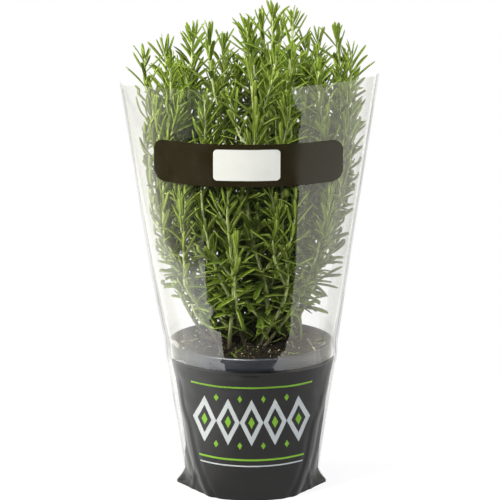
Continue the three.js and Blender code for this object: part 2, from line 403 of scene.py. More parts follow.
def make_pot_plastic():
    """Moulded blue-grey plastic with faint rings round it and soil dust near the rim's top."""
    material, nodes, shader = new_material("pot_plastic")
    tone = nodes.use(UNEVEN, Colour=rgb(32, 37, 46), Second=rgb(48, 52, 59), Patch_Scale=70.0,
                     Speck_Scale=700.0, Amount=0.6)
    height = nodes.add("SeparateXYZ", Vector=nodes.place()).outputs["Z"]
    near_top = nodes.spread(height, RIM_TOP - 0.006, RIM_TOP)
    dusty = nodes.spread(nodes.noise(nodes.place(), 420, 4.0), 0.52, 0.72)
    dust = nodes.times(nodes.times(near_top, dusty), 0.55)
    rings = nodes.calc("SINE", nodes.times(height, 2 * math.pi / 0.0011))  # one each 1.1 mm
    grain = nodes.use(GRAIN, Scale=600.0, Depth=0.0002, Strength=0.3)
    nodes.fill(
        shader, Base_Color=nodes.blend(dust, tone["Colour"], rgb(92, 80, 62)),
        Normal=nodes.relief(rings, 0.12, 0.0001, Normal=grain["Normal"]),
        Roughness=nodes.spread(dust, 0, 0.5, 0.36, 0.75),
    )
    return material


def make_earth(name, dark, light, amount, scale, roughness=0.9):
    """Soil and what lies in it: crumbly, uneven and dull."""
    material, nodes, shader = new_material(name)
    tone = nodes.use(UNEVEN, Colour=dark, Second=light, Patch_Scale=scale, Speck_Scale=scale * 6,
                     Amount=amount)
    grain = nodes.use(GRAIN, Scale=scale * 5, Depth=0.0006, Strength=0.6)
    nodes.fill(shader, Base_Color=tone["Colour"], Normal=grain["Normal"], Roughness=roughness,
               Specular_IOR_Level=0.12)
    return material


def make_leaf():
    """Needle leaf: glossy green above with painted groove shade and painted edge highlights, pale felt and
    midrib below.
    """
    material, nodes, shader = new_material("leaf")
    age, tone, under, rib, edge, along = (
        nodes.mark(name) for name in ("age", "tone", "under", "rib", "edge", "along"))
    young = nodes.blend(tone, rgb(84, 114, 3), rgb(118, 148, 14))
    # The grown colour is partly the darker green of older leaves and partly painted shade below the tips.
    grown_and_shaded = nodes.blend(tone, rgb(46, 70, 1), rgb(80, 104, 6))
    top = nodes.blend(age, young, grown_and_shaded)
    # Painted shade down the groove on the leaf's top.
    top = nodes.blend(nodes.times(rib, 0.4), top, rgb(44, 68, 2))
    # Painted highlight along the leaf's edges.
    top = nodes.blend(nodes.times(edge, 0.36), top, rgb(192, 210, 116))
    felt = nodes.blend(rib, rgb(92, 118, 14), rgb(172, 188, 100))
    colour = nodes.blend(under, top, felt)
    patches = nodes.spread(nodes.noise(nodes.place(), 260, 3.0), 0.3, 0.7)
    colour = nodes.blend(nodes.times(patches, 0.25), colour, rgb(54, 80, 3))
    foot = nodes.times(nodes.spread(along, 0.12, 0.0), 0.7)
    colour = nodes.blend(foot, colour, rgb(160, 176, 104))
    dull = nodes.calc("MAXIMUM", under, patches)
    nodes.fill(
        shader, Base_Color=colour, Roughness=nodes.spread(dull, 0, 1, 0.22, 0.42),
        Normal=nodes.use(GRAIN, Scale=1600.0, Depth=0.0002, Strength=0.35)["Normal"],
        Specular_IOR_Level=0.46, Specular_Tint=rgb(228, 236, 150),
    )
    glow = nodes.add("BsdfTranslucent", Color=nodes.blend(0.5, colour, rgb(160, 196, 20)))
    nodes.show(nodes.mixed(0.1, shader, glow))
    return material


def make_bark():
    """Stem: pale grey-green when young, turning to light brown, cracked bark at the foot."""
    material, nodes, shader = new_material("bark")
    streaks = nodes.spread(nodes.noise(nodes.place((1, 1, 0.12)), 900, 3.0), 0.4, 0.65)
    fresh = nodes.blend(streaks, rgb(150, 170, 86), rgb(194, 203, 142))
    woody = nodes.blend(streaks, rgb(50, 41, 27), rgb(88, 76, 50))
    grain = nodes.use(GRAIN, Scale=1100.0, Depth=0.0004, Strength=0.5)
    nodes.fill(shader, Base_Color=nodes.blend(nodes.mark("age"), fresh, woody),
               Normal=grain["Normal"], Roughness=0.62)
    return material


UNEVEN, GRAIN = make_uneven(), make_grain()
CLEAR_FILM = make_film("clear_film", haze=0.002, slant_haze=0.52, roughness=0.035)
LINING_FILM = make_film("lining_film", haze=0.0, slant_haze=0.0, roughness=0.035, shine=0.0)
WELD_FILM = make_film("weld_film", haze=0.24, slant_haze=0.0, roughness=0.14, shine=0.4,
                      milkiness=rgb(150, 152, 151))
DARK_PRINT = make_ink("dark_print", rgb(18, 18, 19), rgb(28, 27, 27), 0.12, 0.4)
BAND_INK = make_ink("band_ink", rgb(30, 26, 12), rgb(37, 32, 19), 0.16, 0.25)
LABEL_INK = make_ink("label_ink", rgb(202, 204, 202), rgb(193, 195, 192), 0.3, 0.25)
SILVER_INK = make_ink("silver_ink", rgb(182, 188, 192), rgb(168, 174, 179), 0.36)
LIME_INK = make_ink("lime_ink", rgb(118, 168, 34), rgb(102, 150, 30), 0.4)
POT_PLASTIC = make_pot_plastic()
PEAT = make_earth("peat", rgb(20, 17, 8), rgb(38, 32, 18), amount=0.9, scale=240.0)
PERLITE = make_earth("perlite", rgb(188, 178, 140), rgb(226, 220, 194), 0.8, 500.0, roughness=0.75)
MOSS = make_earth("moss", rgb(78, 108, 44), rgb(128, 152, 84), amount=0.8, scale=500.0)
FIBRE = make_earth("fibre", rgb(104, 84, 56), rgb(146, 124, 90), amount=0.8, scale=500.0)
LEAF, BARK = make_leaf(), make_bark()


# ---- Sleeve ----
def sleeve_halves(h):
    """Half the sleeve's width and depth at a height along it, and how far up from the pot's rim it is."""
    up = ramp(h, RIM_TOP, SLEEVE_HEIGHT)
    below = mix(BASE_HALF_WIDTH, RIM_HALF_WIDTH, ramp(h, 0, RIM_BOTTOM))
    return mix(below, TOP_HALF_WIDTH, up), mix(below, TOP_HALF_DEPTH, up), up


def seam_point(t, up):
    """How pointed the outline is at the seams: 1 is an ellipse. The left of the front is the flattest."""
    front = mix(1.55, 1.2, ramp(np.cos(t), -1, 1)) + 0.35 * ramp(-np.cos(t), 0, 1)
    return mix(1.0, np.where(np.sin(t) < 0, front, 1.45), up)


# Where the foot's pleats run: their degrees from the seams at each height.
PLEATS = [0.0, 0.009, 0.02, 0.03, 0.052, 0.064, 0.09], [50, 43, 39, 37, 33, 26, 21]
CREASE = 0.0965  # height of the crease where the film tucks in under the rim
# How deep the hollow under the rim is at each height, as a share of its full depth.
WAIST = [0.01, 0.04, 0.07, 0.084, CREASE], [0, 0.7, 1, 1, 0]
# An angle round the film times its radius is about the way round it, low down and higher up.
LOW_RADIUS, HIGH_RADIUS = 0.06, 0.07


def fold(x, middle, before, after):
    """A sharp ridge, 1 in the middle, that falls to 0 over these widths on its two sides."""
    return np.clip(1 - np.maximum((middle - x) / before, (x - middle) / after), 0, 1)


def to_front(t):
    """1 on the front of the film, and 0 on its back."""
    return smooth(np.sin(t), 0, -0.5)


def pleats(h, from_seam, side):
    """The foot's pleats: beside each seam a sharp ridge between a furrow and a low fold.

    Where they are and how wide is in degrees round the film.
    """
    sway = waves(h, side * 7, 0.05, 3)
    at = np.interp(h, *PLEATS) + 1.5 * sway
    ridge = 0.0013 * fold(from_seam, at, mix(9, 14, ramp(h, 0.09, 0.03)), 3.0)
    furrow = 0.0012 * fold(from_seam, at - 13 + sway, 9, 8)
    low_fold = 0.0006 * smooth(h, 0.06, 0.03) * fold(from_seam, at + 9, 5, 9)
    return smooth(h, 0.094, 0.07) * (ridge - furrow) + low_fold


def corner_tucks(h, from_seam):
    """Over each ear the film lies further in, with one crease that slants across."""
    corner = smooth(h, 0.03, 0.012) * smooth(from_seam, 48, 20) * smooth(from_seam, 0, 8)
    return corner * (0.0016 * fold(from_seam, 22 + h * 500, 7, 4) - 0.0017)


def under_rim(t, h):
    """How far the film lies in under the pot's rim: all round, beside the seams and in the middle."""
    waist = 0.0021 * np.interp(h, *WAIST)
    beside_seams = 0.0008 * fold(h, CREASE + 0.001, 0.02, 0.0106) * smooth(np.abs(np.cos(t)), 0.85, 1)
    around = t * LOW_RADIUS
    depth = 0.0013 + 0.0002 * waves(around, 0, 0.014, 5)
    width = 0.0045 + 0.0006 * waves(around, 0, 0.012, 8)
    middle = bump(np.cos(t) + 0.02, 0, 0.24) * to_front(t)
    return -waist - beside_seams - depth * middle * fold(h, CREASE, width, 0.0009)


def film_wrinkles(t, h):
    """How far the film stands out of its smooth outline."""
    from_seam = np.degrees(np.arccos(np.abs(np.cos(t))))
    side = np.sign(np.cos(t)) + 2 * np.sign(np.sin(t))
    dents = 0.0003 * bump(h, 0.08, 0.02) * to_front(t) * waves(t * LOW_RADIUS + h, h * 2, 0.03, 6)
    around = t * HIGH_RADIUS
    long_waves = (0.00025 + 0.00055 * smooth(h, RIM_TOP, 0.2)) * waves(around, h * 0.12, 0.045, 11)
    short_waves = 0.00008 * (1 - bump(h, 0.149, 0.012)) * waves(around, h * 0.6, 0.016, 12)
    shaped = pleats(h, from_seam, side) + corner_tucks(h, from_seam) + under_rim(t, h)
    return shaped + dents + long_waves + short_waves


BACK_DROP = 0.009  # the cut top edge of the back panel sags by this much in the middle
LEFT_PULL = 0.0029  # how far the left seam hangs out to the left, high up


def left_pull(h):
    """How far the left seam hangs out at a height over the rim. The right seam doesn't."""
    return LEFT_PULL * ramp(h, 0.096, 0.162)


def film_points(t, h, stand_off=0.0):
    """Points on the outside of the film, by the angle round it from +X and the height along it."""
    half_width, half_depth, up = sleeve_halves(h)
    reach = (EAR - SEAM) * (1 - ramp(h, EAR_FROM, EAR_TO)) ** 1.5 + SEAM
    tangent = np.arccos(half_width / (half_width + reach))
    from_seam = np.abs(np.arcsin(np.clip(np.sin(t), -1, 1)))
    stretch = np.where(from_seam < tangent, 1 / np.cos(np.maximum(tangent - from_seam, 0)), 1)
    side = np.sign(np.sin(t)) * np.abs(np.sin(t)) ** seam_point(t, up)
    free = np.abs(np.sin(t)) ** 0.7  # the welds hold the film, so it wrinkles only away from them
    out = film_wrinkles(t, h) * free + stand_off
    x = (half_width + out) * stretch * np.cos(t) - left_pull(h) * (1 - np.cos(t)) / 2
    y = (half_depth + out) * stretch * side
    z = h + SLANT * x * up
    z = z - BACK_DROP * ramp(h, 0.2, SLEEVE_HEIGHT) * np.maximum(np.sin(t), 0) ** 0.7
    return np.stack(np.broadcast_arrays(x, y, z), -1)


SLEEVE_COLUMNS = 320
TUCK = 0.088  # height from which the film tucks in under the rim
PRINT_MARGINS = {"right": 12, "left": 19}  # degrees from each seam to the side edge of the dark print
FLOOR_RINGS = (0.96, 0.85, 0.6, 0.3, 0.02)  # the rings of the sleeve's floor, as shares of its outline
SLEEVE_MATERIALS = [CLEAR_FILM, DARK_PRINT, WELD_FILM, LINING_FILM]
CLEAR, DARK, WELDED, LINED = range(len(SLEEVE_MATERIALS))
CREASE_ANGLE = math.radians(50)  # edges sharper than this stay sharp


def sleeve_heights():
    """The heights of the rings of points, which lie closer together under the rim."""
    foot = np.linspace(0, TUCK, 41)
    tuck = np.linspace(TUCK, PRINT_LINE, 21)
    upper = np.linspace(PRINT_LINE, SLEEVE_HEIGHT, 62)
    return np.concatenate([foot, tuck[1:], upper[1:]])


def sleeve_skin(heights):
    """The outside of the bag, ring by ring, from the middle of its floor up to its cut edge."""
    t = np.linspace(0, 2 * math.pi, SLEEVE_COLUMNS, endpoint=False)
    wall = film_points(t[None, :], heights[:, None])
    floor = np.stack([wall[0] * (share, share, 1) for share in reversed(FLOOR_RINGS)])
    rumpled = 0.0004 * (1 + waves(floor[..., 0], floor[..., 1], 0.02, 21))
    floor[..., 2] = np.clip(rumpled, 0, None) * np.linspace(1, 0.1, len(floor))[:, None]
    return np.concatenate([floor, wall])


def sleeve_wear(faces, heights):
    """The materials that the faces of the skin wear, and those of its lining."""
    row, column = faces[:, 0] // SLEEVE_COLUMNS, faces[:, 0] % SLEEVE_COLUMNS
    height = np.concatenate([np.zeros(len(FLOOR_RINGS)), heights])[row]
    angle = (column + 0.5) * 360 / SLEEVE_COLUMNS
    from_seam = np.abs((angle + 90) % 180 - 90)
    margin = np.where(np.abs(angle - 180) > 90, PRINT_MARGINS["right"], PRINT_MARGINS["left"])
    below_line = height < PRINT_LINE - 1e-6
    beside_margin = from_seam > margin * ramp(height, 0.013, 0.03)
    printed = (row < len(FLOOR_RINGS)) | (below_line & beside_margin)
    skin = np.where(printed, DARK, np.where(below_line, WELDED, CLEAR))
    return skin, np.where(printed, DARK, LINED)


def make_sleeve():
    """The bag: one thin closed skin with its floor, the dark foot, and a flat weld along each side."""
    heights = sleeve_heights()
    skin = sleeve_skin(heights)
    lining = skin - FILM * normals_of(skin)
    rows, columns = skin.shape[:2]
    count = rows * columns
    faces = grid_faces(rows, columns, True)
    lip = np.arange(count - columns, count)
    after = np.roll(lip, -1)
    edge = np.stack([lip, after, after + count, lip + count], -1)
    points = [skin.reshape(-1, 3), lining.reshape(-1, 3)]
    face_sets = [faces, faces[:, ::-1] + count, edge, *end_caps(columns, count)]
    worn = [*sleeve_wear(faces, heights), np.full(columns, CLEAR), [DARK, DARK]]
    for sign in (1, -1):
        weld_points, weld_faces = weld(sign, sum(len(p) for p in points))
        points.append(weld_points)
        face_sets.append(weld_faces)
        worn.append(np.full(len(weld_faces), WELDED))
    piece("film_sleeve_skin", np.concatenate(points), face_sets, SLEEVE_MATERIALS,
          np.concatenate(worn), replaces=["film_sleeve"], creases=CREASE_ANGLE)


WELD_EDGE = 0.0471  # how far out the weld's straight outer edge starts at the bottom
WELD_SLOPE = 0.144  # and how much further out it is for each metre up


def weld(sign, start):
    """The flat weld outside a side seam, from the ear up to the cut edge."""
    heights = np.linspace(0.0008, SLEEVE_HEIGHT, 90)
    line = film_points(np.full(len(heights), 0.0 if sign > 0 else math.pi), heights)
    edge = WELD_EDGE + WELD_SLOPE * heights + (left_pull(heights) if sign < 0 else 0)
    width = np.clip(edge - np.abs(line[:, 0]), 0.0009, 0.004)
    sway = 0.0002 * np.sin(heights * 90 + sign)
    outer = []
    for share in (-0.15, 0.35, 0.7, 1.0):
        row = line.copy()
        row[:, 0] += sign * width * share
        row[:, 1] += sway * share
        outer.append(row)
    grid = np.stack(outer)[::-sign]
    return plate(grid + (0, -FILM, 0), grid + (0, FILM, 0), start)


# ---- Print on the front of the sleeve ----
def on_front(x, z, stand_off):
    """Points on the front of the film at these places as seen from the front."""
    h = z
    for _ in range(3):
        half_width = sleeve_halves(h)[0] + stand_off
        t = 2 * math.pi - np.arccos(np.clip(x / half_width, -1, 1))
        h = h + z - film_points(t, h, stand_off)[..., 2]
    return film_points(t, h, stand_off)


INK = 0.00003  # the ink's thickness
ON_FILM = 0.00005  # how far the ink stands off the film
ON_BAND = 0.0001  # and how far the label's ink does, which lies on the band
PRINT_SLANT = 0.007  # the band rises to the right by this share of x
BAND = dict(half_length=0.0651, half_height=0.0148, radius=0.0078, middle_x=-0.0011, centre=0.245)
LABEL = dict(half_length=0.0227, half_height=0.0108, radius=0.0028, middle_x=-0.0019, centre=0.2453)
# The border on the dark foot. Sizes of diamonds are half their width and half their height.
DIAMOND_PITCH = 0.0172
DIAMOND_LEVEL = 0.06
DIAMOND = (0.0086, 0.0178)
OPENING = 0.6  # the inner edge of an open diamond, as a share of its outer edge
HEART = (0.0023, 0.0046)  # the lime diamond inside an open one
SPARK = (0.0017, 0.0028)  # and those between them
LIME_BARS = ((0.0865, 0.044), (0.0315, 0.038))  # their heights and half lengths
SILVER_BAR = (0.0268, 0.037)


def patch(corners, steps, stand_off):
    """A four-sided patch of ink: its corners run lower left, lower right, upper right, upper left."""
    (across, along), (a, b, c, d) = steps, np.array(corners)
    u = np.linspace(0, 1, across + 1)[None, :, None]
    v = np.linspace(0, 1, along + 1)[:, None, None]
    flat = mix(mix(a, b, u), mix(d, c, u), v)
    return ink_sheet(flat[..., 0], flat[..., 1], stand_off)


def ink_sheet(x, z, stand_off):
    """The outer and the inner points of a sheet of ink."""
    return on_front(x, z, stand_off + INK), on_front(x, z, stand_off)


def rounded_sheet(half_length, half_height, radius, middle_x, centre, columns, rows, stand_off):
    """A long field with rounded ends, as one sheet of ink."""
    end = radius * (1 - np.cos(np.linspace(0.12, math.pi / 2, 9)))
    middle = np.linspace(radius, 2 * half_length - radius, columns)[1:-1]
    x = np.concatenate([end, middle, 2 * half_length - end[::-1]]) - half_length
    into_end = np.clip(np.abs(x) - (half_length - radius), 0, radius)
    height = half_height - radius + np.sqrt(np.maximum(radius**2 - into_end**2, 0))
    share = np.linspace(-1, 1, rows)[:, None]
    z = centre + share * height + PRINT_SLANT * x
    return ink_sheet(np.broadcast_to(x, z.shape) + middle_x, z, stand_off)


def print_piece(name, sheets, material):
    """One colour of print on the sleeve, from its sheets of ink."""
    points, faces, start = [], [], 0
    for outer, inner in sheets:
        new_points, new_faces = plate(outer, inner, start)
        points.append(new_points)
        faces.append(new_faces)
        start += len(new_points)
    piece(name, np.concatenate(points), faces, [material], creases=CREASE_ANGLE)


def make_prints():
    """The brown band with its white label field, and a plain diamond border on the dark foot."""
    band = rounded_sheet(**BAND, columns=60, rows=12, stand_off=ON_FILM)
    print_piece("print_band", [band], BAND_INK)
    label = rounded_sheet(**LABEL, columns=24, rows=10, stand_off=ON_BAND)
    print_piece("print_label", [label], LABEL_INK)
    silver, lime = [], []
    for i in range(-2, 3):
        silver += open_diamond(i * DIAMOND_PITCH, DIAMOND_LEVEL, *DIAMOND)
        lime.append(diamond(i * DIAMOND_PITCH, DIAMOND_LEVEL, *HEART))
    for i in range(-2, 2):
        for side in (-1, 1):
            level = DIAMOND_LEVEL + side * DIAMOND[1]
            lime.append(diamond((i + 0.5) * DIAMOND_PITCH, level, *SPARK))
    lime += [bar(level, half_length, 0.0014) for level, half_length in LIME_BARS]
    silver.append(bar(*SILVER_BAR, 0.001))
    print_piece("print_diamonds", silver, SILVER_INK)
    print_piece("print_lines", lime, LIME_INK)


def tips(x, z, half_width, half_height):
    """A diamond's corners: the lowest, the right, the highest and the left one."""
    return [(x, z - half_height), (x + half_width, z), (x, z + half_height), (x - half_width, z)]


def diamond(x, z, half_width, half_height):
    """A solid diamond."""
    return patch(tips(x, z, half_width, half_height), (4, 4), ON_FILM)


def open_diamond(x, z, half_width, half_height):
    """The four mitred sides of an open diamond."""
    outer = tips(x, z, half_width, half_height)
    inner = tips(x, z, half_width * OPENING, half_height * OPENING)
    sides = []
    for i in range(4):
        j = (i + 1) % 4
        sides.append(patch([outer[i], outer[j], inner[j], inner[i]], (8, 2), ON_FILM))
    return sides


def bar(level, half_length, width):
    """A level line of ink across the front."""
    low, high = level - width / 2, level + width / 2
    corners = [(-half_length, low), (half_length, low), (half_length, high), (-half_length, high)]
    return patch(corners, (90, 1), ON_FILM)


# ---- Pot ----
FOOT_HEIGHT = 0.0025  # how far the floor stands over the foot ring
FOOT_WIDTH = 0.005
POT_SEGMENTS = 160
DRAINS = 8
DRAIN_RADIUS = 0.004
DRAIN_CIRCLE = 0.029  # how far the middles of the drains are from the pot's middle


def beside(radius, height, *offsets):
    """Points of a section, by how far out and up they lie from a corner."""
    return [(radius + out, height + up) for out, up in offsets]


def pot_profile():
    """The pot's section from the middle of its underside round to the middle of its floor."""
    floor = FOOT_HEIGHT + POT_WALL
    wall_top = POT_HEIGHT - RIM_HEIGHT
    half_way = mix(POT_BASE_RADIUS, WALL_TOP_RADIUS, 0.5)
    ring = POT_BASE_RADIUS - FOOT_WIDTH
    return [
        (0.002, FOOT_HEIGHT), (0.02, FOOT_HEIGHT), (ring - 0.001, FOOT_HEIGHT),
        *beside(ring, 0, (0, 0.0006), (0.0006, 0)),
        *beside(POT_BASE_RADIUS, 0, (-0.0016, 0), (-0.0006, 0.0003), (0, 0.0012)),
        (half_way, wall_top / 2),
        *beside(WALL_TOP_RADIUS, wall_top, (0, -0.0008), (0.0004, -0.0001)),
        *beside(RIM_RADIUS, wall_top, (-0.0018, 0), (-0.001, 0.0005), (-0.0006, 0.004),
                (-0.0005, 0.0048), (-0.0001, 0.0056), (0, 0.0064)),
        *beside(RIM_RADIUS, POT_HEIGHT, (0, -0.0014), (-0.0002, -0.0006), (-0.0008, -0.0001),
                (-0.0012, 0), (-0.0019, -0.0001), (-0.0023, -0.0006), (-0.0026, -0.0016)),
        *beside(WALL_TOP_RADIUS - POT_WALL, wall_top, (0.0004, 0.0006), (0, -0.001)),
        (half_way - POT_WALL, wall_top / 2),
        *beside(POT_BASE_RADIUS - POT_WALL, floor, (0.0003, 0.001), (-0.0007, 0)),
        (0.02, floor), (0.002, floor),
    ]


def make_pot():
    """The pot: its section turned about the vertical, with drain holes in its floor."""
    rings = turned(pot_profile(), POT_SEGMENTS) + (0, 0, POT_BOTTOM)
    pot = piece("pot_shell", rings, closed_faces(rings), [POT_PLASTIC],
                replaces=["nursery_pot"])
    drill_drains(pot)
    pot.data.set_sharp_from_angle(angle=math.radians(40))


def drill_drains(pot):
    """Cut the drain holes, with cylinders that are removed again."""
    drills = []
    for i in range(DRAINS):
        angle = (i + 0.5) * 2 * math.pi / DRAINS
        place = (DRAIN_CIRCLE * math.cos(angle), DRAIN_CIRCLE * math.sin(angle), POT_BOTTOM + 0.003)
        bpy.ops.mesh.primitive_cylinder_add(vertices=24, radius=DRAIN_RADIUS, depth=0.006, location=place)
        drills.append(bpy.context.object)
        cut = pot.modifiers.new("drain", "BOOLEAN")
        cut.object = drills[-1]
        cut.operation = "DIFFERENCE"
        cut.solver = "EXACT"
    bpy.context.view_layer.update()
    drilled = bpy.data.meshes.new_from_object(pot.evaluated_get(bpy.context.evaluated_depsgraph_get()))
    pot.modifiers.clear()
    pot.data = drilled
    for drill in drills:
        bpy.data.objects.remove(drill)


# ---- Soil ----
LUMPS = ((0.0007, 0.02, 31), (0.00045, 0.006, 32), (0.0003, 0.0025, 33))  # height, size and seed
SOIL_RINGS = 66
SOIL_SEGMENTS = 240
PLUG_FOOT_RADIUS = 0.0432


def soil_height(x, y):
    """The top of the soil: a low crown with lumps and crumbs."""
    r = np.hypot(x, y)
    crown = SOIL_EDGE + SOIL_CROWN * np.cos(np.minimum(r / SOIL_RADIUS, 1) * math.pi / 2)
    lumps = sum(height * waves(x, y, size, seed) for height, size, seed in LUMPS)
    return crown + lumps * ramp(SOIL_RADIUS - r, -0.001, 0.002)


def make_soil():
    """The plug of soil: its lumpy top, and the plain floor and wall that the pot hides."""
    floor = POT_BOTTOM + 0.004
    foot = PLUG_FOOT_RADIUS
    hidden = [(0.002, floor), (foot - 0.0007, floor), (foot, floor + 0.001),
              (SOIL_RADIUS, RIM_BOTTOM - 0.001)]
    radii = SOIL_RADIUS * np.sqrt(np.linspace(0.0004, 1, SOIL_RINGS))[::-1]
    top = turned([(radius, 0) for radius in radii], SOIL_SEGMENTS)
    top[..., 2] = soil_height(top[..., 0], top[..., 1])
    skin = np.concatenate([turned(hidden, SOIL_SEGMENTS), top])
    piece("soil_bed", skin, closed_faces(skin), [PEAT], replaces=["soil"])


def pebble_shape(level):
    """Points and faces of a small round grain."""
    bpy.ops.mesh.primitive_ico_sphere_add(subdivisions=level, radius=1)
    ball = bpy.context.object
    points = np.array([v.co for v in ball.data.vertices])
    faces = np.array([p.vertices[:] for p in ball.data.polygons])
    bpy.data.objects.remove(ball)
    return points, faces


def scatter_places(rng, count, edge=0.0535):
    """Places on the soil, by chance, within a distance of its middle."""
    radius = edge * np.sqrt(rng.uniform(0, 1, count))
    angle = rng.uniform(0, 2 * math.pi, count)
    return radius * np.cos(angle), radius * np.sin(angle)


def grains(name, material, count, sizes, level, seed, sunk=0.35, places=None):
    """Many rough grains that lie half sunk in the top of the soil."""
    rng = np.random.default_rng(seed)
    shape, faces = pebble_shape(level)
    x, y = scatter_places(rng, count) if places is None else places(rng, count)
    size = rng.uniform(*sizes, count) * rng.uniform(0.6, 1, count)
    stretch = rng.uniform(0.55, 1.25, (count, 1, 3))
    turn = np.linalg.qr(rng.normal(size=(count, 3, 3)))[0]  # each grain lies turned by chance
    turn *= np.sign(np.linalg.det(turn))[:, None, None]
    rough = 1 + 0.22 * rng.normal(size=(count, len(shape), 1)).clip(-1.5, 1.5)
    body = (shape[None] * stretch * rough) @ turn * size[:, None, None]
    z = soil_height(x, y) + size * (0.5 - sunk)
    points = body + np.stack([x, y, z], -1)[:, None]
    all_faces = faces[None] + (np.arange(count) * len(shape))[:, None, None]
    piece(name, points, [all_faces.reshape(-1, 3)], [material])


def more_on_the_left(rng, count):
    """Places on the soil that lie closer together on its left."""
    x, y = scatter_places(rng, count * 3)
    keep = np.argsort(x + rng.uniform(0, 0.09, len(x)))[:count]
    return x[keep], y[keep]


def make_soil_litter():
    """Crumbs, perlite, bits of moss and fibres on the soil, and a few dry leaves that have dropped."""
    grains("soil_crumbs", PEAT, 2600, sizes=(0.0005, 0.0014), level=1, seed=41)
    grains("soil_clods", PEAT, 160, sizes=(0.0013, 0.0026), level=2, seed=42, sunk=0.5)
    grains("perlite_grains", PERLITE, 180, sizes=(0.0003, 0.0009), level=2, seed=43, sunk=0.15)
    grains("moss_bits", MOSS, 190, sizes=(0.0004, 0.001), level=1, seed=44, sunk=0.1,
           places=more_on_the_left)
    make_fibres()
    make_fallen_leaves()


TUBE_SIDES = 8


def tube(path, radii, squareness=0.0):
    """Points of a tube along a path, ring by ring, with the frame that it was swept in."""
    ways = unit(np.gradient(path, axis=0))
    across = [unit(np.cross(ways[0], [1.0, 0.0, 0.0]))]
    for way in ways[1:]:
        last = across[-1]
        across.append(unit(last - way * np.dot(last, way)))
    across = np.array(across)
    third = np.cross(ways, across)
    angles = np.linspace(0, 2 * math.pi, TUBE_SIDES, endpoint=False)[:, None]
    ring = np.cos(angles) * across[:, None] + np.sin(angles) * third[:, None]
    swell = 1 + squareness * np.cos(4 * angles)
    return path[:, None] + ring * (radii[:, None, None] * swell), ways, across, third


def tube_faces(rings, start):
    """A tube's walls and its two ends, as one array of four-sided faces."""
    walls = grid_faces(rings, TUBE_SIDES, True, start)
    end = np.array([[0, 1, 2, 7], [7, 2, 3, 6], [6, 3, 4, 5]])
    last = start + (rings - 1) * TUBE_SIDES
    return np.concatenate([walls, end[:, ::-1] + start, end + last])


FIBRE_REACH = 0.054  # how far from the middle a fibre may end


def make_fibres():
    """Thin dry fibres that lie in curves on the soil."""
    rng = np.random.default_rng(51)
    points, faces, start = [], [], 0
    for x, y in zip(*scatter_places(rng, 120, 0.05)):
        length = rng.uniform(0.003, 0.012)
        turn = rng.uniform(0, 2 * math.pi)
        bend = rng.uniform(-2, 2)
        s = np.linspace(0, 1, 9)
        px = x + length * s * np.cos(turn + bend * s)
        py = y + length * s * np.sin(turn + bend * s)
        inside = FIBRE_REACH / np.maximum(np.hypot(px, py), FIBRE_REACH)
        px, py = px * inside, py * inside
        lift = rng.uniform(0.0003, 0.0012) * np.sin(math.pi * s)
        path = np.stack([px, py, soil_height(px, py) + 0.0002 + lift], -1)
        rings = tube(path, rng.uniform(0.00009, 0.0002) * (1 - 0.6 * s))[0]
        points.append(rings.reshape(-1, 3))
        faces.append(tube_faces(len(path), start))
        start += len(points[-1])
    piece("soil_fibres", np.concatenate(points), faces, [FIBRE])


# ---- Leaves ----
# A leaf's section, in half-widths: left edge, left top, groove, right top, right edge, right roll,
# midrib, left roll. Its edges roll under, which leaves a channel on each side of the midrib.
LEAF_SECTION = np.array([
    (-1, -0.08), (-0.56, 0.3), (0, 0.1), (0.56, 0.3), (1, -0.08), (0.6, -0.46), (0, -0.22), (-0.6, -0.46),
])
LEAF_UNDER = np.array([0, 0, 0, 0, 0, 1, 1, 1.0])
# Where the groove lies, which gets painted shade on the top, and the pale midrib below.
LEAF_RIB_AND_GROOVE_SHADE = np.array([0, 0, 1, 0, 0, 0, 1, 0.0])
# How much painted highlight each point of the section takes along the leaf's edges.
LEAF_EDGE_HIGHLIGHT = np.array([1, 0.3, 0, 0.3, 1, 0.5, 0, 0.5])
# The leaf's rings of points: how far along it they lie, and how wide it is there.
LEAF_STEPS = np.array([0, 0.07, 0.22, 0.45, 0.7, 0.89, 1.0])
LEAF_WIDTHS = np.array([0.4, 0.6, 0.86, 1.0, 1.0, 0.82, 0.3])
SMALL_WIDTH = 0.0019  # the width of the small leaves in tufts, and of those that have dropped


